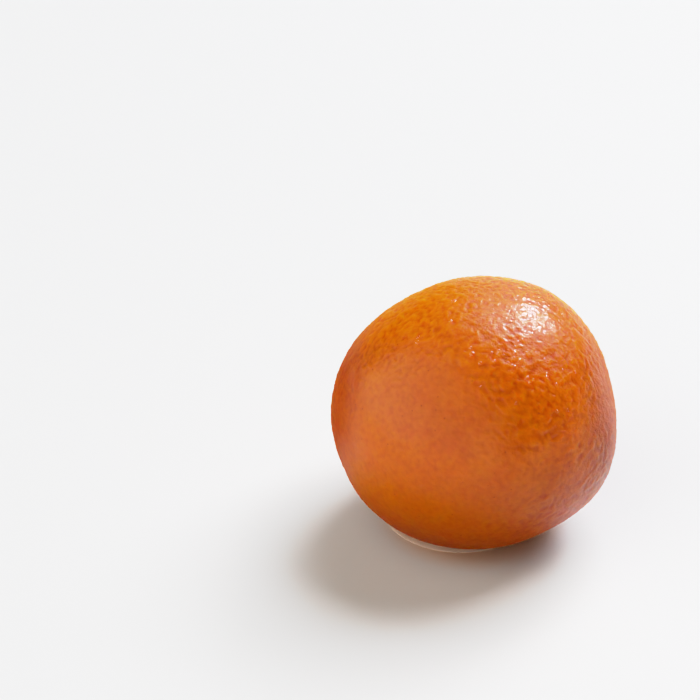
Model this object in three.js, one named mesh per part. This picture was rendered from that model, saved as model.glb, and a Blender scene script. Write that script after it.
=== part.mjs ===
// A gulab jamun: a hand-rolled ball of milk dough, fried until its thin skin browns and then soaked in
// sugar syrup. It is soft and heavy with syrup, so it has settled a little wider than it is high, and it
// stands on a small flat spot pressed by its own weight. It is one piece, solid right through.
//
// Millimetres, +Z up. The origin is on the surface that the ball rests on, under the middle of its box.
// +X is to the right and -Y is towards the viewer.
import * as THREE from "three";
import { mergeVertices } from "three/addons/utils/BufferGeometryUtils.js";
import { ImprovedNoise } from "three/addons/math/ImprovedNoise.js";

// Driving dimensions: the ball's size between calipers.
const WIDTH = 40.4;
const DEPTH = 39.4;
const HEIGHT = 36.8;

// The flat spot, and how gently the skin rolls off its edge.
const REST_SPOT_RADIUS = 7.4;
const REST_EDGE_ROUNDING = 0.5;

// Where rolling and settling left the ball fuller or flatter than a plain round, from the right flank
// round the front to the back. bearing turns from +X towards +Y and rise goes up from level, both in
// degrees. lift is how far the skin stands out there, or in where it is negative, and spread is how many
// degrees the form reaches.
const SWELLS = [
  { name: "flank flat", bearing: 6.7, rise: 8, lift: -0.35, spread: 17 },
  { name: "heel", bearing: -15.7, rise: -22.3, lift: 1.2, spread: 19 },
  { name: "brow flat", bearing: -70, rise: 30, lift: -0.25, spread: 30 },
  { name: "chin", bearing: -140, rise: -36, lift: 0.6, spread: 26 },
  { name: "cheek", bearing: 172, rise: 8, lift: 0.5, spread: 26 },
  { name: "shoulder flat", bearing: 139, rise: 44, lift: -0.75, spread: 26 },
  { name: "back swell", bearing: 122, rise: -28, lift: 0.35, spread: 22 },
  { name: "nape flat", bearing: 82, rise: -6, lift: -0.5, spread: 24 },
  { name: "crown", bearing: 29, rise: 38, lift: 0.6, spread: 24 },
];

// The skin's own unevenness: long shallow waves left by the palms, and shallow dimples where the fried
// skin drew in over the crumb.
const PALM_WAVE = { length: 13, height: 0.25 };
const DIMPLE = { length: 4.6, height: 0.11 };

// The ball starts as an icosahedron of radius 1. Cutting its edges this many times, into 21 parts each,
// makes triangles that are about 1.1 mm long on the finished ball.
const EDGE_CUTS = 20;
const SAME_POINT = 1e-5;

const noise = new ImprovedNoise();

// The unit direction at a bearing and rise given in degrees.
function direction({ bearing, rise }) {
  const turn = THREE.MathUtils.degToRad(bearing);
  const lift = THREE.MathUtils.degToRad(rise);
  const level = Math.cos(lift);
  return new THREE.Vector3(level * Math.cos(turn), level * Math.sin(turn), Math.sin(lift));
}

// Smooth noise of the given wave length and height, at a point in millimetres.
function wave(point, { length, height }) {
  return height * noise.noise(point.x / length, point.y / length, point.z / length);
}

// How far all the swells and flats together move the skin in or out along a unit direction.
function swellAt(toSkin) {
  return SWELLS.reduce((sum, swell) => {
    const apart = toSkin.angleTo(direction(swell));
    const reach = apart / THREE.MathUtils.degToRad(swell.spread);
    return sum + swell.lift * Math.exp(-0.5 * reach * reach);
  }, 0);
}

// The settled ball before its skin is uneven: an ellipsoid whose lower end goes through the surface by
// just enough to leave the flat spot.
function settledEllipsoid() {
  const sunk = Math.sqrt(1 - (2 * REST_SPOT_RADIUS / WIDTH) ** 2);
  const halfHeight = HEIGHT / (1 + sunk);
  return { half: new THREE.Vector3(WIDTH / 2, DEPTH / 2, halfHeight), floor: -halfHeight * sunk };
}

// Presses what lies below the floor flat onto it, rounding the edge by a parabola.
function pressOnto(floor, height) {
  const above = height - floor;
  if (above >= REST_EDGE_ROUNDING) return height;
  if (above <= -REST_EDGE_ROUNDING) return floor;
  return floor + (above + REST_EDGE_ROUNDING) ** 2 / (4 * REST_EDGE_ROUNDING);
}

// Scales the geometry to the driving dimensions, with its flat spot on z = 0 and its box centred over
// the origin.
function fitToSize(geometry) {
  geometry.computeBoundingBox();
  const box = geometry.boundingBox;
  const size = box.getSize(new THREE.Vector3());
  const middle = box.getCenter(new THREE.Vector3());
  geometry.translate(-middle.x, -middle.y, -box.min.z);
  geometry.scale(WIDTH / size.x, DEPTH / size.y, HEIGHT / size.z);
  return geometry;
}

function ballGeometry() {
  const round = new THREE.IcosahedronGeometry(1, EDGE_CUTS);
  round.deleteAttribute("normal");
  round.deleteAttribute("uv");
  const geometry = mergeVertices(round, SAME_POINT);
  const { half, floor } = settledEllipsoid();
  const positions = geometry.getAttribute("position");
  const toSkin = new THREE.Vector3();
  const point = new THREE.Vector3();
  for (let i = 0; i < positions.count; i++) {
    toSkin.fromBufferAttribute(positions, i).normalize();
    point.copy(toSkin).multiply(half);
    const lift = swellAt(toSkin) + wave(point, PALM_WAVE) + wave(point, DIMPLE);
    point.addScaledVector(toSkin, lift);
    positions.setXYZ(i, point.x, point.y, pressOnto(floor, point.z));
  }
  fitToSize(geometry);
  geometry.computeVertexNormals();
  return geometry;
}

const syrupSoakedCrust = new THREE.MeshStandardMaterial({ color: 0xcb641c, roughness: 0.28, metalness: 0 });

const gulabJamun = new THREE.Mesh(ballGeometry(), syrupSoakedCrust);
gulabJamun.name = "gulab_jamun";

const part = new THREE.Group();
part.name = "gulab jamun";
part.add(gulabJamun);

export default part;
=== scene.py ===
import math
import random

import bpy
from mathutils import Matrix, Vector


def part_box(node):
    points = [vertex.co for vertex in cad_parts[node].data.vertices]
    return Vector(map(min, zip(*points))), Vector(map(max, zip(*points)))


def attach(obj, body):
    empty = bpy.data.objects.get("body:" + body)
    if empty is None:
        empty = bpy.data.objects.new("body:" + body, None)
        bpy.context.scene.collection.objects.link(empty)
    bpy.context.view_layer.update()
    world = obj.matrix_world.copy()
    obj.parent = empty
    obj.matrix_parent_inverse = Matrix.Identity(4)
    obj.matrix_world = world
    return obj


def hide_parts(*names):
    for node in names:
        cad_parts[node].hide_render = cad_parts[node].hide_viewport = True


# A gulab jamun, dressed for its picture: the fried and syrup-soaked skin over the ball, beads of syrup
# on it, and the thin foot of syrup that it stands in.
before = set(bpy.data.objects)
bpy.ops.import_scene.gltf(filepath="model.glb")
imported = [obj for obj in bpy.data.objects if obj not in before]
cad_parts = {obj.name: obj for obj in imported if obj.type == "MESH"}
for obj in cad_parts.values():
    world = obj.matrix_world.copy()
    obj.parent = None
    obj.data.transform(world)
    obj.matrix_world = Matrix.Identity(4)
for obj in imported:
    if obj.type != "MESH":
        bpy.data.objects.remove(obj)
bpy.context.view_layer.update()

MM = 0.001
BODY = "root"
BALL_NODE = "gulab_jamun"

ball_low, ball_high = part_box(BALL_NODE)
ball_middle = (ball_low + ball_high) / 2
ball_size = ball_high - ball_low

# How the photograph was taken. It is square, and the ball's middle stands at this pixel of it.
PHOTO_PIXELS = 700
BALL_PIXEL = (475, 406)
BALL_WIDTH_PIXELS = 286
CAMERA_RISE = 33.4
CAMERA_DISTANCE = 560 * MM
SENSOR_WIDTH = 36

# The even round that is drawn inwards onto the ball's form: its radius as a share of the ball's width.
ROUND_SHARE = 0.6

# The fried skin's relief, in millimetres: small mounds, drawn out along one way where the skin is wrinkled,
# and the softer crumple under them. Crinkles and pores are finer, and are left to the shading.
MOUND = {"pitch": 0.68, "height": 0.155}
# How many times longer than wide a wrinkle is, and the units of the noise that a pitch of the crumple spans.
WRINKLE_LENGTH = 1.4
CRUMPLE_NOISE_UNITS = 0.7
CRUMPLE = {"pitch": 2.4, "height": 0.13}
CRINKLE = {"pitch": 0.4, "height": 0.035}
PORE = {"pitch": 1.15, "width": 0.34, "depth": 0.03}
# The share of the pores' cells that stays without a pore.
CLOSED_CELLS = 0.5
# The relief comes in between these two heights above the surface, in millimetres.
RELIEF_HEIGHTS = (0.05, 9)

# Where the skin is smooth and where it is wrinkled, as directions from the ball's middle, each with the
# angles in degrees where it starts to fade and is gone. The smooth cheek keeps a share of the relief, and
# the wrinkles of each place run along one way.
SMOOTH_CHEEK = {"towards": (-0.42, -0.88, 0.05), "full": 34, "gone": 62}
SMOOTH_SHARE = 0.45
WRINKLED = [
    ({"towards": (0.38, -0.70, 0.60), "full": 24, "gone": 52}, (0.82, -0.31, -0.48)),
    ({"towards": (0.74, -0.58, -0.34), "full": 20, "gone": 38}, (0.71, 0.63, 0.43)),
]
# The ragged borders of these places: how far apart in millimetres they swerve, and how strongly.
BORDER_PITCH = 4.5
BORDER_SWERVE = 0.5

# How much the film of syrup on the skin shines, and the places where it is thinner or, in the last of them,
# thicker, in the same way, each with its shine there.
FILM_SHINE = 0.46
FILM_PLACES = [
    ({"towards": (-1.0, 0.0, 0.05), "full": 16, "gone": 36}, 0.06),
    ({"towards": (-0.28, -0.53, -0.80), "full": 38, "gone": 62}, 0.12),
    ({"towards": (-0.62, 0.25, 0.75), "full": 18, "gone": 38}, 0.12),
    ({"towards": (0.88, 0.46, 0.1), "full": 12, "gone": 44}, 0.14),
    ({"towards": (0.77, -0.59, -0.25), "full": 3, "gone": 23}, 0.75),
]

# The two flanks darkened with painted shade, in the same way, each with its tint.
SHADED_FLANKS = [
    ({"towards": (-1.0, 0.0, 0.05), "full": 10, "gone": 42}, "#D8AE94"),
    ({"towards": (0.98, -0.05, 0.05), "full": 8, "gone": 42}, "#CABEA8"),
]

# The soaked dough's two colours and how far apart in millimetres they mottle it.
DOUGH_COLOURS = ("#DC7403", "#D46702")
MOTTLE_PITCH = 6
# Painted light and shade by height: a golden tint painted on the lit top, and painted shade darkening the
# underside. Each one's colour, and the heights in millimetres where it starts and is full.
PAINTED_LIGHT_AND_SHADE_BY_HEIGHT = [("#DA7808", 29, 37), ("#8C3501", 22, 5.5)]

# Painted shade in the creases and pores: what multiplies the colour there, and how much of it reaches the
# mounds' creases, the crinkles and the pores.
CREASE_SHADE_TINT = "#CE9E80"
PORE_SHADE_TINT = "#C4957C"
CREASE_SHADE_SHARE = 0.85
CRINKLE_SHADE_SHARE = 0.45
PORE_SHADE_SHARE = 0.8

# How far red, green and blue light go into the soaked dough, as shares of a length in millimetres.
SCATTER_SHARES = (1.0, 0.22, 0.06)
SCATTER_LENGTH = 8.0

# How strongly sugar syrup bends light.
SYRUP_IOR = 1.46

# Beads of syrup standing on the skin, with their widths in millimetres. The first ones each have the pixel
# of the photograph that they glint at.
BEADS = [
    ((454, 301), 0.9),
    ((450, 321), 0.6),
    ((472, 354), 0.8),
    ((470, 347), 0.5),
    ((418, 337), 0.6),
    ((417, 342), 0.5),
    ((527, 378), 0.7),
    ((547, 374), 0.6),
    ((575, 372), 0.5),
    ((568, 411), 0.6),
    ((557, 412), 0.5),
]
# More are drawn from the seed on the sides away from the camera, between two heights on a unit ball.
SCATTERED_BEADS = 16
SCATTERED_WIDTHS = (0.4, 0.8)
SCATTERED_HEIGHTS = (-0.3, 0.95)
# A fine sprinkle below the highlight is drawn too, spread about one direction from the ball's middle.
SPRINKLED_BEADS = 30
SPRINKLED_WIDTHS = (0.34, 0.56)
SPRINKLE_TOWARDS = (0.34, -0.53, 0.78)
SPRINKLE_SPREAD = 0.15
BEAD_SEED = 7
# The angle in degrees at which a bead meets the skin, and the depth under it in millimetres where the bead
# is cut off. Bisect counts points within 0.1 mm as on the cut, so the beads end up to 0.1 mm deeper, and
# some of their faces under the skin are there twice.
BEAD_ANGLE = 36
BEAD_SUNK = 0.15
BEAD_SHARP_ANGLE = 40

# The foot of syrup, in millimetres. Its edge is nearly round, and lies off to one side of the ball.
FOOT_RADIUS = 11.0
FOOT_INNER_RADIUS = 6.6
FOOT_SHOULDER_RADIUS = 8.6
FOOT_MIDDLE = (-1.8, 1.6)
FOOT_THICKNESS = 0.27
FOOT_EDGE_HEIGHT = 0.02
FOOT_CLIMB = 1.0
# Where the floor's amber smear, partly thin syrup and partly painted light from the ball's glow, starts to
# fade and is gone.
SMEAR_AND_GLOW_RADII = (9, 14.5)

# The colours of the light from the window and of the light that the room throws back.
WINDOW_COLOUR = (0.93, 0.95, 1.0)
ROOM_COLOUR = (1.0, 0.96, 0.84)

# The lights: name, bearing and rise in degrees, distance and size in metres, brightness of the face, colour
# and what sees it. Some fade from their middle, and have the distance in metres where they are gone.
LIGHTS = [
    ("key", 49, 51, 2.2, (1.6, 1.6), 10.2, WINDOW_COLOUR, "surfaces", None),
    ("key_shine", 51, 47, 2.2, (3.4, 3.4), 9, WINDOW_COLOUR, "shines", 1.7),
    ("key_core", 56, 38, 2.15, (0.8, 0.8), 130, WINDOW_COLOUR, "shines", 0.36),
    ("back_shine", 82, 13, 2.1, (0.9, 0.8), 1.5, WINDOW_COLOUR, "shines", None),
    ("front", -130, 60, 2.2, (1.5, 1.5), 1.3, ROOM_COLOUR, "surfaces", None),
]

# The white panel at the front left, in metres. Each of its two layers has its ends and its heights, from the
# panel's nearest point to the ball's middle, and the brightness of its face. They stand a gap apart,
# because one right on the other would take its light.
PANEL_TOWARDS = (-0.85, -0.53, 0.0)
PANEL_DISTANCE = 0.6
PANEL_LAYER_GAP = 0.02
PANEL_ON_SURFACES = {"ends": (-0.6, 2.2), "heights": (0.2, 0.62), "radiance": 2.0}
PANEL_IN_SHINES = {"ends": (-1.3, 7.0), "heights": (0.0, 3.2), "radiance": 2.9}
# How its brightness in shines fades along it and up it, each with two places and the brightness at them.
PANEL_FADES = [
    ("along", -1.25, -0.3, 0.0, 1.0),
    ("along", -0.2, 0.5, 1.0, 0.64),
    ("along", 0.5, 1.5, 1.0, 0.9),
    ("along", 3.0, 7.0, 1.0, 0.0),
    ("height", 0.1, 0.85, 1.0, 0.6),
    ("height", 0.8, 3.2, 1.0, 0.0),
]

# The faint light from all round, and how bright the camera sees the background.
ALL_ROUND_COLOUR = (1, 0.93, 0.83, 1)
ALL_ROUND_STRENGTH = 0.05
BACKGROUND_STRENGTH = 1.36

# How bright the photograph shows each brightness of the scene.
TONE_CURVE = [
    (0.2, 0.2),
    (0.4, 0.4),
    (0.55, 0.55),
    (0.66, 0.648),
    (0.76, 0.705),
    (0.88, 0.755),
    (1.03, 0.803),
    (1.29, 0.882),
    (1.6, 0.95),
    (2.1, 1),
]
TONE_WHITE = TONE_CURVE[-1][0]

# The floor stays this little below the foot's underside, so that the two faces don't share a plane.
FLOOR_GAP = 0.02 * MM


def linear(hex_colour):
    """A hex sRGB colour as linear RGBA."""
    channels = [int(hex_colour[i:i + 2], 16) / 255 for i in (1, 3, 5)]
    return [c / 12.92 if c <= 0.04045 else ((c + 0.055) / 1.055) ** 2.4 for c in channels] + [1]


def add_node(tree, kind, sockets=(), **settings):
    """Adds a node, with its settings and with each socket's value or link."""
    node = tree.nodes.new(kind)
    for name, value in settings.items():
        setattr(node, name, value)
    for name, value in dict(sockets).items():
        shown = [s for s in node.inputs if s.enabled]
        socket = shown[name] if isinstance(name, int) else next(s for s in shown if s.name == name)
        if isinstance(value, bpy.types.NodeSocket):
            tree.links.new(value, socket)
        else:
            socket.default_value = value
    return node


def start_piece():
    """Leaves nothing selected, so that the next operator acts on its own piece alone."""
    bpy.ops.object.select_all(action="DESELECT")


def select_only(piece):
    """Makes a piece the active one and the only one selected."""
    start_piece()
    piece.select_set(True)
    bpy.context.view_layer.objects.active = piece


def apply_modifier(piece, kind, **settings):
    """Adds a modifier to a piece and applies it to its mesh."""
    select_only(piece)
    modifier = piece.modifiers.new(kind.title(), kind)
    for name, value in settings.items():
        setattr(modifier, name, value)
    bpy.ops.object.modifier_apply(modifier=modifier.name)


# ---------------------------------------------------------------- skin


def smooth_form():
    """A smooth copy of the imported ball, for the skin to be drawn onto."""
    select_only(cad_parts[BALL_NODE])
    bpy.ops.object.duplicate()
    form = bpy.context.active_object
    form.name = "smooth_form"
    bpy.ops.object.mode_set(mode="EDIT")
    bpy.ops.mesh.select_all(action="SELECT")
    bpy.ops.mesh.remove_doubles(threshold=0.001 * MM)
    bpy.ops.object.mode_set(mode="OBJECT")
    apply_modifier(form, "SUBSURF", levels=2, render_levels=2)
    return form


def mask_towards(tree, direction, towards, full, gone):
    """1 round one direction from the ball's middle, and fading to 0 further off."""
    middle = Vector(towards).normalized()
    facing = add_node(tree, "ShaderNodeVectorMath", {0: direction, 1: middle}, operation="DOT_PRODUCT")
    return add_node(
        tree,
        "ShaderNodeMapRange",
        {
            "Value": facing.outputs["Value"],
            "From Min": math.cos(math.radians(gone)),
            "From Max": math.cos(math.radians(full)),
        },
        interpolation_type="SMOOTHSTEP",
    ).outputs["Result"]


def mounds(tree, at, pitch):
    """Small uneven mounds, from 0 in the hollows between them to 1."""
    noise = add_node(
        tree,
        "ShaderNodeTexNoise",
        {"Vector": at, "Scale": 1 / (pitch * MM), "Detail": 1.5, "Distortion": 0.3},
    )
    return add_node(
        tree, "ShaderNodeMapRange", {"Value": noise.outputs["Fac"], "From Min": 0.3, "From Max": 0.7}
    ).outputs["Result"]


def drawn_out(tree, place, run, share):
    """The place, squeezed to a share of itself along one way, which draws a pattern out along it."""
    run = Vector(run).normalized()
    along = add_node(tree, "ShaderNodeVectorMath", {0: place, 1: run}, operation="DOT_PRODUCT")
    back = add_node(tree, "ShaderNodeMath", {0: along.outputs["Value"], 1: share - 1}, operation="MULTIPLY")
    shift = add_node(tree, "ShaderNodeVectorMath", {0: run, "Scale": back.outputs[0]}, operation="SCALE")
    return add_node(
        tree, "ShaderNodeVectorMath", {0: place, 1: shift.outputs[0]}, operation="ADD"
    ).outputs[0]


def fried_skin_relief():
    """The node tree that raises the fried skin's mounds and wrinkles. It leaves two attributes for the
    material: how deep in a crease a point lies, and how rough the skin is there."""
    tree = bpy.data.node_groups.new("fried skin relief", "GeometryNodeTree")
    tree.interface.new_socket("Geometry", in_out="INPUT", socket_type="NodeSocketGeometry")
    tree.interface.new_socket("Geometry", in_out="OUTPUT", socket_type="NodeSocketGeometry")
    given = add_node(tree, "NodeGroupInput")
    place = add_node(tree, "GeometryNodeInputPosition").outputs[0]
    normal = add_node(tree, "GeometryNodeInputNormal").outputs[0]
    from_middle = add_node(tree, "ShaderNodeVectorMath", {0: place, 1: ball_middle}, operation="SUBTRACT")
    direction = add_node(
        tree, "ShaderNodeVectorMath", {0: from_middle.outputs[0]}, operation="NORMALIZE"
    ).outputs[0]

    # Both kinds of skin fade into each other along ragged borders.
    ragged = add_node(
        tree, "ShaderNodeTexNoise", {"Vector": place, "Scale": 1 / (BORDER_PITCH * MM), "Detail": 3.0}
    ).outputs["Color"]
    centred = add_node(tree, "ShaderNodeVectorMath", {0: ragged, 1: (0.5, 0.5, 0.5)}, operation="SUBTRACT")
    nudge = add_node(
        tree, "ShaderNodeVectorMath", {0: centred.outputs[0], "Scale": BORDER_SWERVE}, operation="SCALE"
    ).outputs[0]
    nudged = add_node(tree, "ShaderNodeVectorMath", {0: direction, 1: nudge}, operation="ADD").outputs[0]
    smooth = mask_towards(tree, nudged, **SMOOTH_CHEEK)
    height = add_node(tree, "ShaderNodeSeparateXYZ", {0: place}).outputs["Z"]
    above_foot = add_node(
        tree,
        "ShaderNodeMapRange",
        {"Value": height, "From Min": RELIEF_HEIGHTS[0] * MM, "From Max": RELIEF_HEIGHTS[1] * MM},
        interpolation_type="SMOOTHSTEP",
    ).outputs["Result"]
    roughness = add_node(
        tree, "ShaderNodeMapRange", {"Value": smooth, "To Min": 1.0, "To Max": SMOOTH_SHARE}
    )
    rough = add_node(
        tree, "ShaderNodeMath", {0: roughness.outputs["Result"], 1: above_foot}, operation="MULTIPLY"
    ).outputs[0]

    pattern = mounds(tree, place, MOUND["pitch"])
    for where, run in WRINKLED:
        wrinkled = mask_towards(tree, nudged, **where)
        wrinkles = mounds(tree, drawn_out(tree, place, run, 1 / WRINKLE_LENGTH), MOUND["pitch"])
        pattern = add_node(
            tree, "ShaderNodeMix", {"Factor": wrinkled, "A": pattern, "B": wrinkles}, data_type="FLOAT"
        ).outputs[0]
    crumple_scale = CRUMPLE_NOISE_UNITS / (CRUMPLE["pitch"] * MM)
    crumple = add_node(
        tree, "ShaderNodeTexNoise", {"Vector": place, "Scale": crumple_scale, "Detail": 1.0}
    ).outputs["Fac"]
    fine = add_node(tree, "ShaderNodeMath", {0: pattern, 1: 0.5}, operation="SUBTRACT").outputs[0]
    coarse = add_node(tree, "ShaderNodeMath", {0: crumple, 1: 0.5}, operation="SUBTRACT").outputs[0]
    fine_lift = add_node(
        tree, "ShaderNodeMath", {0: fine, 1: MOUND["height"] * MM}, operation="MULTIPLY"
    ).outputs[0]
    both = add_node(
        tree,
        "ShaderNodeMath",
        {0: coarse, 1: CRUMPLE["height"] * MM, 2: fine_lift},
        operation="MULTIPLY_ADD",
    ).outputs[0]
    lift = add_node(tree, "ShaderNodeMath", {0: both, 1: rough}, operation="MULTIPLY").outputs[0]
    offset = add_node(tree, "ShaderNodeVectorMath", {0: normal, "Scale": lift}, operation="SCALE").outputs[0]
    low = add_node(
        tree,
        "ShaderNodeMapRange",
        {"Value": pattern, "From Min": 0.0, "From Max": 1.0, "To Min": 1.0, "To Max": 0.0},
    ).outputs["Result"]
    crease = add_node(tree, "ShaderNodeMath", {0: low, 1: rough}, operation="MULTIPLY").outputs[0]

    geometry = given.outputs[0]
    for name, value in (("crease", crease), ("rough_skin", rough)):
        stored = add_node(
            tree,
            "GeometryNodeStoreNamedAttribute",
            {"Geometry": geometry, "Name": name, "Value": value},
            data_type="FLOAT",
            domain="POINT",
        )
        geometry = stored.outputs[0]
    moved = add_node(tree, "GeometryNodeSetPosition", {"Geometry": geometry, "Offset": offset})
    add_node(tree, "NodeGroupOutput", {0: moved.outputs[0]})
    return tree


def make_skin():
    """The whole skin: a round of even quads, drawn onto the ball's form and then given its relief."""
    form = smooth_form()
    start_piece()
    bpy.ops.mesh.primitive_cube_add(size=max(ball_size), location=ball_middle)
    skin = bpy.context.active_object
    skin.name = "skin"
    apply_modifier(skin, "SUBSURF", levels=7, render_levels=7)
    round_radius = ROUND_SHARE * max(ball_size)
    apply_modifier(
        skin, "CAST", cast_type="SPHERE", factor=1.0, use_radius_as_size=False, size=round_radius
    )
    select_only(skin)
    bpy.ops.object.transform_apply(location=True, rotation=True, scale=True)
    apply_modifier(
        skin, "SHRINKWRAP", target=form, wrap_method="PROJECT",
        use_negative_direction=True, use_positive_direction=False,
    )
    bpy.data.objects.remove(form)
    apply_modifier(skin, "NODES", node_group=fried_skin_relief())
    bpy.ops.object.shade_smooth()
    skin.data.materials.append(syrup_soaked_crust())
    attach(skin, BODY)
    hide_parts(BALL_NODE)
    return skin


# ---------------------------------------------------------------- syrup


def camera_axes():
    """Where the camera stands, and the ways that its picture's right, its top and its view point."""
    rise = math.radians(CAMERA_RISE)
    back = Vector((0, -math.cos(rise), math.sin(rise)))
    stand = ball_middle + back * CAMERA_DISTANCE
    pixel = ball_size.x / BALL_WIDTH_PIXELS
    left_of_ball = (PHOTO_PIXELS / 2 - BALL_PIXEL[0]) * pixel
    above_ball = (BALL_PIXEL[1] - PHOTO_PIXELS / 2) * pixel
    aim = ball_middle + Vector((left_of_ball, above_ball * math.sin(rise), above_ball * math.cos(rise)))
    view = (aim - stand).normalized()
    right = view.cross((0, 0, 1)).normalized()
    return stand, right, right.cross(view), view


def seen_on_skin(skin, pixel):
    """The point of the skin, and its normal, that a pixel of the photograph shows."""
    stand, right, top, view = camera_axes()
    focal_pixels = CAMERA_DISTANCE * BALL_WIDTH_PIXELS / ball_size.x
    across = (pixel[0] - PHOTO_PIXELS / 2) / focal_pixels
    down = (pixel[1] - PHOTO_PIXELS / 2) / focal_pixels
    found, point, normal, _ = skin.ray_cast(stand, view + right * across - top * down)
    if not found:
        raise ValueError(f"no skin shows at pixel {pixel}")
    return point, normal


def out_on_skin(skin, outwards):
    """The point of the skin, and its normal, that lies in a direction from the ball's middle."""
    _, point, normal, _ = skin.ray_cast(ball_middle + outwards * ball_size.x, -outwards)
    return point, normal


def scattered_direction(draws):
    """A direction to the skin above its foot, drawn at random on the sides away from the photograph's."""
    turn = draws.uniform(0, math.pi)
    rise = math.asin(draws.uniform(*SCATTERED_HEIGHTS))
    return Vector((math.cos(rise) * math.cos(turn), math.cos(rise) * math.sin(turn), math.sin(rise)))


def sprinkled_direction(draws):
    """A direction to the skin below the highlight, drawn at random."""
    nudge = Vector([draws.gauss(0, SPRINKLE_SPREAD) for _ in range(3)])
    return (Vector(SPRINKLE_TOWARDS).normalized() + nudge).normalized()


def make_bead(point, normal, width):
    """One bead: the cap of a ball that meets the skin at the angle of a wet drop, sunk a little into it."""
    start_piece()
    angle = math.radians(BEAD_ANGLE)
    radius = width * MM / 2 / math.sin(angle)
    sunk = BEAD_SUNK * MM
    bpy.ops.mesh.primitive_uv_sphere_add(segments=20, ring_count=28, radius=radius)
    bead = bpy.context.active_object
    bpy.ops.object.mode_set(mode="EDIT")
    bpy.ops.transform.translate(value=(0, 0, -radius * math.cos(angle)))
    bpy.ops.mesh.bisect(plane_co=(0, 0, -sunk), plane_no=(0, 0, 1), clear_inner=True, use_fill=True)
    bpy.ops.object.mode_set(mode="OBJECT")
    bpy.ops.object.shade_smooth_by_angle(angle=math.radians(BEAD_SHARP_ANGLE))
    bead.location = point
    bead.rotation_mode = "QUATERNION"
    bead.rotation_quaternion = normal.to_track_quat("Z", "Y")
    return bead


def make_beads(skin):
    """All the beads of syrup, joined into one piece."""
    bpy.context.view_layer.update()
    draws = random.Random(BEAD_SEED)
    placed = [(*seen_on_skin(skin, pixel), width) for pixel, width in BEADS]
    for _ in range(SCATTERED_BEADS):
        placed.append((*out_on_skin(skin, scattered_direction(draws)), draws.uniform(*SCATTERED_WIDTHS)))
    for _ in range(SPRINKLED_BEADS):
        placed.append((*out_on_skin(skin, sprinkled_direction(draws)), draws.uniform(*SPRINKLED_WIDTHS)))
    beads = [make_bead(*place) for place in placed]
    start_piece()
    for bead in beads:
        bead.select_set(True)
    bpy.context.view_layer.objects.active = beads[0]
    bpy.ops.object.join()
    bpy.ops.object.transform_apply(location=True, rotation=True, scale=True)
    beads[0].name = "syrup_beads"
    beads[0].data.materials.append(syrup_bead())
    # Real light goes through the clear beads to the skin under them.
    beads[0].visible_shadow = False
    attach(beads[0], BODY)


def make_foot():
    """The foot of syrup: a ring under the ball's edge, drawn outwards ring by ring over its top, round its
    thin outer edge and back underneath."""
    # Each ring's radius, its height and how far its middle has moved from the ball's to the foot's.
    rings = [
        (FOOT_INNER_RADIUS, FOOT_CLIMB, 0),
        (FOOT_SHOULDER_RADIUS, FOOT_CLIMB * 0.8, 0.15),
        (0.87 * FOOT_RADIUS, FOOT_THICKNESS * 1.25, 0.5),
        (0.93 * FOOT_RADIUS, FOOT_THICKNESS * 1.0, 0.85),
        (0.97 * FOOT_RADIUS, FOOT_THICKNESS * 0.72, 1),
        (0.99 * FOOT_RADIUS, FOOT_THICKNESS * 0.4, 1),
        (FOOT_RADIUS, FOOT_EDGE_HEIGHT, 1),
        (0.97 * FOOT_RADIUS, 0, 1),
        (FOOT_INNER_RADIUS, 0, 0),
    ]
    start_piece()
    bpy.ops.mesh.primitive_circle_add(
        vertices=96, radius=FOOT_INNER_RADIUS * MM, location=(0, 0, FOOT_CLIMB * MM)
    )
    foot = bpy.context.active_object
    foot.name = "syrup_foot"
    bpy.ops.object.transform_apply(location=True)
    bpy.ops.object.mode_set(mode="EDIT")
    bpy.ops.mesh.select_all(action="SELECT")
    for (radius, height, moved), (next_radius, next_height, next_moved) in zip(rings, rings[1:]):
        bpy.ops.mesh.extrude_region_move()
        grow = next_radius / radius
        middle = (FOOT_MIDDLE[0] * moved * MM, FOOT_MIDDLE[1] * moved * MM, height * MM)
        bpy.ops.transform.resize(value=(grow, grow, 1), center_override=middle)
        shift = next_moved - moved
        step = (FOOT_MIDDLE[0] * shift * MM, FOOT_MIDDLE[1] * shift * MM, (next_height - height) * MM)
        bpy.ops.transform.translate(value=step)
    bpy.ops.mesh.select_mode(type="EDGE")
    bpy.ops.mesh.select_all(action="DESELECT")
    bpy.ops.mesh.select_non_manifold()
    bpy.ops.mesh.bridge_edge_loops()
    bpy.ops.mesh.select_all(action="SELECT")
    bpy.ops.mesh.normals_make_consistent(inside=False)
    bpy.ops.object.mode_set(mode="OBJECT")
    apply_modifier(foot, "SUBSURF", levels=2, render_levels=2)
    bpy.ops.object.shade_smooth()
    foot.data.materials.append(pooled_syrup())
    foot.visible_shadow = False
    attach(foot, BODY)


# ---------------------------------------------------------------- materials


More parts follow.
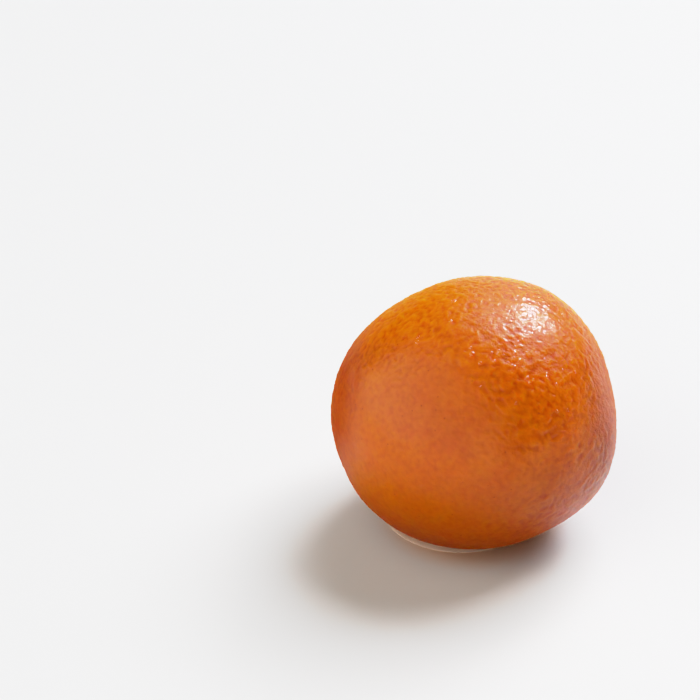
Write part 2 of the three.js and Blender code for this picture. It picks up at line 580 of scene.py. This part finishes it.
def dough_colour_and_painted_light(tree, place):
    """The soaked dough's colour: orange down the sides and mottled a little browner, with a golden top that
    is painted light and a darkening to the underside that is painted shade."""
    mottle = add_node(
        tree,
        "ShaderNodeTexNoise",
        {"Vector": place, "Scale": 1 / (MOTTLE_PITCH * MM), "Detail": 5.0, "Roughness": 0.65},
    )
    fried = add_node(
        tree, "ShaderNodeMapRange", {"Value": mottle.outputs["Fac"], "From Min": 0.35, "From Max": 0.65}
    )
    colour = add_node(
        tree,
        "ShaderNodeMix",
        {"Factor": fried.outputs[0], "A": linear(DOUGH_COLOURS[0]), "B": linear(DOUGH_COLOURS[1])},
        data_type="RGBA",
    ).outputs[2]
    height = add_node(tree, "ShaderNodeSeparateXYZ", {0: place}).outputs["Z"]
    # Painted light on the top and painted shade on the underside, by height.
    for tint, start, end in PAINTED_LIGHT_AND_SHADE_BY_HEIGHT:
        share = add_node(
            tree, "ShaderNodeMapRange", {"Value": height, "From Min": start * MM, "From Max": end * MM}
        ).outputs["Result"]
        colour = add_node(
            tree, "ShaderNodeMix", {"Factor": share, "A": colour, "B": linear(tint)}, data_type="RGBA"
        ).outputs[2]
    return colour


def syrup_soaked_crust():
    """Fried milk dough soaked through with syrup: red light goes millimetres deep and blue hardly at all, so
    it glows orange, and the clear film of syrup on it gives a wet shine that breaks up on the crinkles."""
    material = bpy.data.materials.new("syrup_soaked_fried_dough")
    material.use_nodes = True
    tree = material.node_tree
    tree.nodes.clear()
    place = add_node(tree, "ShaderNodeTexCoord").outputs["Object"]
    crease = add_node(tree, "ShaderNodeAttribute", attribute_name="crease").outputs["Fac"]
    rough = add_node(tree, "ShaderNodeAttribute", attribute_name="rough_skin").outputs["Fac"]
    crinkles = mounds(tree, place, CRINKLE["pitch"])
    between = add_node(tree, "ShaderNodeMath", {0: 1.0, 1: crinkles}, operation="SUBTRACT")
    crinkle_shade = add_node(
        tree, "ShaderNodeMath", {0: between.outputs[0], 1: rough}, operation="MULTIPLY"
    ).outputs[0]
    crinkle_shade = add_node(
        tree, "ShaderNodeMath", {0: crinkle_shade, 1: CRINKLE_SHADE_SHARE}, operation="MULTIPLY"
    ).outputs[0]
    crease_shade = add_node(
        tree, "ShaderNodeMath", {0: crease, 1: CREASE_SHADE_SHARE}, operation="MULTIPLY"
    ).outputs[0]
    share = add_node(tree, "ShaderNodeMath", {0: crease_shade, 1: crinkle_shade}, operation="MAXIMUM")
    # Painted shade darkens the colour in the mounds' creases and between the crinkles.
    skin_colour = add_node(
        tree,
        "ShaderNodeMix",
        {"Factor": share.outputs[0], "A": dough_colour_and_painted_light(tree, place), "B": linear(CREASE_SHADE_TINT)},
        data_type="RGBA",
        blend_type="MULTIPLY",
    ).outputs[2]

    # Pores: a pit at the middle of some of the cells, darkened with painted shade.
    cells = add_node(
        tree, "ShaderNodeTexVoronoi", {"Vector": place, "Scale": 1 / (PORE["pitch"] * MM), "Randomness": 0.9}
    )
    pit = add_node(
        tree,
        "ShaderNodeMapRange",
        {
            "Value": cells.outputs["Distance"],
            "From Min": 0.0,
            "From Max": PORE["width"] / 2 / PORE["pitch"],
            "To Min": 1.0,
            "To Max": 0.0,
        },
        interpolation_type="SMOOTHSTEP",
    )
    drawn = add_node(tree, "ShaderNodeSeparateColor", {0: cells.outputs["Color"]}).outputs[0]
    chosen = add_node(tree, "ShaderNodeMath", {0: drawn, 1: CLOSED_CELLS}, operation="GREATER_THAN")
    pores = add_node(
        tree, "ShaderNodeMath", {0: pit.outputs[0], 1: chosen.outputs[0]}, operation="MULTIPLY"
    ).outputs[0]
    pore_shade = add_node(tree, "ShaderNodeMath", {0: pores, 1: PORE_SHADE_SHARE}, operation="MULTIPLY")
    colour = add_node(
        tree,
        "ShaderNodeMix",
        {"Factor": pore_shade.outputs[0], "A": skin_colour, "B": linear(PORE_SHADE_TINT)},
        data_type="RGBA",
        blend_type="MULTIPLY",
    ).outputs[2]

    from_middle = add_node(tree, "ShaderNodeVectorMath", {0: place, 1: ball_middle}, operation="SUBTRACT")
    direction = add_node(
        tree, "ShaderNodeVectorMath", {0: from_middle.outputs[0]}, operation="NORMALIZE"
    ).outputs[0]
    # Painted shade on the two flanks.
    for where, tint in SHADED_FLANKS:
        flank_shade = mask_towards(tree, direction, **where)
        colour = add_node(
            tree,
            "ShaderNodeMix",
            {"Factor": flank_shade, "A": colour, "B": linear(tint)},
            data_type="RGBA",
            blend_type="MULTIPLY",
        ).outputs[2]
    film = FILM_SHINE
    for where, shine in FILM_PLACES:
        there = mask_towards(tree, direction, **where)
        film = add_node(
            tree, "ShaderNodeMix", {"Factor": there, "A": film, "B": shine}, data_type="FLOAT"
        ).outputs[0]

    held = add_node(tree, "ShaderNodeMath", {0: crinkles, 1: rough}, operation="MULTIPLY")
    crinkle_bump = add_node(
        tree, "ShaderNodeBump", {"Distance": CRINKLE["height"] * MM, "Height": held.outputs[0]}
    )
    pore_bump = add_node(
        tree,
        "ShaderNodeBump",
        {"Distance": PORE["depth"] * MM, "Height": pores, "Normal": crinkle_bump.outputs[0]},
        invert=True,
    )
    # The crust is as wet as the film on it, so no light turns back between the two: only the film shines.
    shader = add_node(
        tree,
        "ShaderNodeBsdfPrincipled",
        {
            "Base Color": colour,
            "Roughness": 0.5,
            "IOR": 1.45,
            "Specular IOR Level": 0.0,
            "Normal": pore_bump.outputs[0],
            "Subsurface Weight": 1.0,
            "Subsurface Radius": SCATTER_SHARES,
            "Subsurface Scale": SCATTER_LENGTH * MM,
            "Coat Weight": film,
            "Coat Roughness": 0.14,
            "Coat IOR": SYRUP_IOR,
            "Coat Normal": pore_bump.outputs[0],
        },
        subsurface_method="RANDOM_WALK",
    )
    add_node(tree, "ShaderNodeOutputMaterial", {"Surface": shader.outputs[0]})
    return material


def syrup_bead():
    """Boiled sugar syrup in a drop: clear and pale amber, with small bright glints, a little soft."""
    material = bpy.data.materials.new("clear_sugar_syrup")
    material.use_nodes = True
    tree = material.node_tree
    tree.nodes.clear()
    place = add_node(tree, "ShaderNodeTexCoord").outputs["Object"]
    strength = add_node(tree, "ShaderNodeTexNoise", {"Vector": place, "Scale": 1 / (4 * MM)}).outputs["Fac"]
    colour = add_node(
        tree,
        "ShaderNodeMix",
        {"Factor": strength, "A": linear("#FFF1D8"), "B": linear("#FBDCA6")},
        data_type="RGBA",
    )
    shader = add_node(
        tree,
        "ShaderNodeBsdfPrincipled",
        {"Base Color": colour.outputs[2], "Roughness": 0.14, "IOR": SYRUP_IOR, "Transmission Weight": 1.0},
    )
    add_node(tree, "ShaderNodeOutputMaterial", {"Surface": shader.outputs[0]})
    return material


def pooled_syrup():
    """Sugar syrup drained off the ball: only a little clear and mostly milky with fine crumb, so it is paler
    than the shade it lies in, with a wet shine."""
    material = bpy.data.materials.new("pooled_sugar_syrup")
    material.use_nodes = True
    tree = material.node_tree
    tree.nodes.clear()
    place = add_node(tree, "ShaderNodeTexCoord").outputs["Object"]
    cloud = add_node(
        tree, "ShaderNodeTexNoise", {"Vector": place, "Scale": 1 / (1.8 * MM), "Detail": 3.0}
    ).outputs["Fac"]
    colour = add_node(
        tree,
        "ShaderNodeMix",
        {"Factor": cloud, "A": linear("#FCE6D4"), "B": linear("#F7D8C2")},
        data_type="RGBA",
    )
    ripple = add_node(tree, "ShaderNodeBump", {"Distance": 0.02 * MM, "Height": cloud})
    shader = add_node(
        tree,
        "ShaderNodeBsdfPrincipled",
        {
            "Base Color": colour.outputs[2],
            "Roughness": 0.06,
            "IOR": SYRUP_IOR,
            "Normal": ripple.outputs[0],
            "Transmission Weight": 0.15,
        },
    )
    add_node(tree, "ShaderNodeOutputMaterial", {"Surface": shader.outputs[0]})
    return material


# ---------------------------------------------------------------- studio


def pale_surface():
    """A smooth white laminate that the ball stands on, faintly satin, with an amber smear round the ball's
    foot that is partly thin syrup and partly painted light, the warm glow of light come through the ball."""
    material = bpy.data.materials.new("white_laminate")
    material.use_nodes = True
    tree = material.node_tree
    tree.nodes.clear()
    place = add_node(tree, "ShaderNodeTexCoord").outputs["Object"]
    from_foot = add_node(tree, "ShaderNodeVectorMath", {0: place}, operation="LENGTH")
    smear_and_glow = add_node(
        tree,
        "ShaderNodeMapRange",
        {
            "Value": from_foot.outputs["Value"],
            "From Min": SMEAR_AND_GLOW_RADII[0] * MM,
            "From Max": SMEAR_AND_GLOW_RADII[1] * MM,
            "To Min": 1.0,
            "To Max": 0.0,
        },
        interpolation_type="SMOOTHSTEP",
    ).outputs["Result"]
    # The amber smear: partly thin syrup, partly painted light where the ball's warm glow falls on the floor.
    colour = add_node(
        tree,
        "ShaderNodeMix",
        {"Factor": smear_and_glow, "A": linear("#EFEFEF"), "B": linear("#EFCBAA")},
        data_type="RGBA",
    )
    shader = add_node(
        tree, "ShaderNodeBsdfPrincipled", {"Base Color": colour.outputs[2], "Roughness": 0.55}
    )
    add_node(tree, "ShaderNodeOutputMaterial", {"Surface": shader.outputs[0]})
    return material


def make_floor():
    """The white surface under the ball."""
    start_piece()
    bpy.ops.mesh.primitive_plane_add(size=8, location=(0, 0, -FLOOR_GAP))
    floor = bpy.context.active_object
    floor.name = "floor"
    floor.data.materials.append(pale_surface())


def make_light(name, towards, distance, size, radiance, colour, seen_by):
    """A soft box that faces the ball, with the given brightness of its face. The surfaces that it lights
    and the shines that show it can be told apart, as a photographer does with flags and cards."""
    light = bpy.data.lights.new(name, "AREA")
    light.color = colour
    light.shape = "RECTANGLE"
    light.size, light.size_y = size
    light.energy = radiance * math.pi * size[0] * size[1]
    lamp = bpy.data.objects.new(name, light)
    bpy.context.scene.collection.objects.link(lamp)
    outwards = Vector(towards).normalized()
    lamp.location = ball_middle + outwards * distance
    lamp.rotation_mode = "QUATERNION"
    lamp.rotation_quaternion = outwards.to_track_quat("Z", "Y")
    lamp.visible_camera = False
    lamp.visible_diffuse = seen_by != "shines"
    lamp.visible_glossy = seen_by != "surfaces"
    return lamp


def make_panel(name, distance, ends, heights, radiance, seen_by):
    """A tall white panel at the front left, seen from the ball between two ends and two heights."""
    size = (ends[1] - ends[0], heights[1] - heights[0])
    panel = make_light(name, PANEL_TOWARDS, distance, size, radiance, ROOM_COLOUR, seen_by)
    raised = Vector((0, 0, (heights[0] + heights[1]) / 2))
    panel.location += panel_way() * (ends[0] + ends[1]) / 2 + raised
    return panel


def panel_way():
    """The level way along the panel, from its left end to its right."""
    return Vector((-PANEL_TOWARDS[1], PANEL_TOWARDS[0], 0)).normalized()


def fade_panel(panel):
    """Lets the panel's brightness fade softly towards its ends and its top."""
    panel.data.use_nodes = True
    tree = panel.data.node_tree
    place = add_node(tree, "ShaderNodeNewGeometry").outputs["Position"]
    along = add_node(
        tree, "ShaderNodeVectorMath", {0: place, 1: panel_way()}, operation="DOT_PRODUCT"
    ).outputs["Value"]
    height = add_node(tree, "ShaderNodeSeparateXYZ", {0: place}).outputs["Z"]
    strength = 1.0
    for value, start, end, first, last in PANEL_FADES:
        fade = add_node(
            tree,
            "ShaderNodeMapRange",
            {
                "Value": along if value == "along" else height,
                "From Min": start,
                "From Max": end,
                "To Min": first,
                "To Max": last,
            },
            interpolation_type="SMOOTHSTEP",
        )
        strength = add_node(
            tree, "ShaderNodeMath", {0: strength, 1: fade.outputs[0]}, operation="MULTIPLY"
        ).outputs[0]
    tree.links.new(strength, tree.nodes["Emission"].inputs["Strength"])


def fade_from_middle(lamp, gone):
    """Lets a light's brightness fade softly from its middle outwards, until it is gone."""
    lamp.data.use_nodes = True
    tree = lamp.data.node_tree
    place = add_node(tree, "ShaderNodeNewGeometry").outputs["Position"]
    off = add_node(
        tree, "ShaderNodeVectorMath", {0: place, 1: lamp.location.copy()}, operation="DISTANCE"
    ).outputs["Value"]
    fade = add_node(
        tree,
        "ShaderNodeMapRange",
        {"Value": off, "From Min": 0.0, "From Max": gone, "To Min": 1.0, "To Max": 0.0},
        interpolation_type="SMOOTHSTEP",
    )
    tree.links.new(fade.outputs[0], tree.nodes["Emission"].inputs["Strength"])


def turned(bearing, rise):
    """The unit direction at a bearing from +X towards +Y and a rise above level, in degrees."""
    turn, lift = math.radians(bearing), math.radians(rise)
    return Vector((math.cos(lift) * math.cos(turn), math.cos(lift) * math.sin(turn), math.sin(lift)))


def make_world():
    """Faint warm light from all round, which the camera sees as a white background."""
    world = bpy.data.worlds.new("studio")
    bpy.context.scene.world = world
    world.use_nodes = True
    tree = world.node_tree
    tree.nodes.clear()
    light = add_node(
        tree, "ShaderNodeBackground", {"Color": ALL_ROUND_COLOUR, "Strength": ALL_ROUND_STRENGTH}
    )
    seen = add_node(
        tree, "ShaderNodeBackground", {"Color": (1, 1, 1, 1), "Strength": BACKGROUND_STRENGTH}
    )
    path = add_node(tree, "ShaderNodeLightPath")
    mixed = add_node(
        tree,
        "ShaderNodeMixShader",
        {0: path.outputs["Is Camera Ray"], 1: light.outputs[0], 2: seen.outputs[0]},
    )
    add_node(tree, "ShaderNodeOutputWorld", {"Surface": mixed.outputs[0]})


def set_tone_curve():
    """The photograph's tones: true to the light up to its middle greys, and rolling off softly in each
    colour above them, as film does."""
    view = bpy.context.scene.view_settings
    view.view_transform = "Standard"
    view.use_curve_mapping = True
    mapping = view.curve_mapping
    mapping.white_level = [TONE_WHITE] * 3
    combined = mapping.curves[3]
    combined.points[1].location = (1, TONE_CURVE[-1][1])
    for light, tone in TONE_CURVE[:-1]:
        combined.points.new(light / TONE_WHITE, tone)
    mapping.update()


def make_camera():
    """The photograph's view: level from side to side, looking down on the ball from the front."""
    stand, _, _, view = camera_axes()
    data = bpy.data.cameras.new("camera")
    data.sensor_width = SENSOR_WIDTH
    data.lens = SENSOR_WIDTH * CAMERA_DISTANCE * BALL_WIDTH_PIXELS / (PHOTO_PIXELS * ball_size.x)
    camera = bpy.data.objects.new("camera", data)
    bpy.context.scene.collection.objects.link(camera)
    camera.location = stand
    camera.rotation_mode = "QUATERNION"
    camera.rotation_quaternion = view.to_track_quat("-Z", "Y")
    bpy.context.scene.camera = camera


make_camera()
make_world()
make_floor()
for name, bearing, rise, distance, size, radiance, colour, seen_by, gone in LIGHTS:
    lamp = make_light(name, turned(bearing, rise), distance, size, radiance, colour, seen_by)
    if gone:
        fade_from_middle(lamp, gone)
make_panel("panel", PANEL_DISTANCE + PANEL_LAYER_GAP, seen_by="surfaces", **PANEL_ON_SURFACES)
fade_panel(make_panel("panel_shine", PANEL_DISTANCE, seen_by="shines", **PANEL_IN_SHINES))
skin = make_skin()
make_beads(skin)
make_foot()
set_tone_curve()
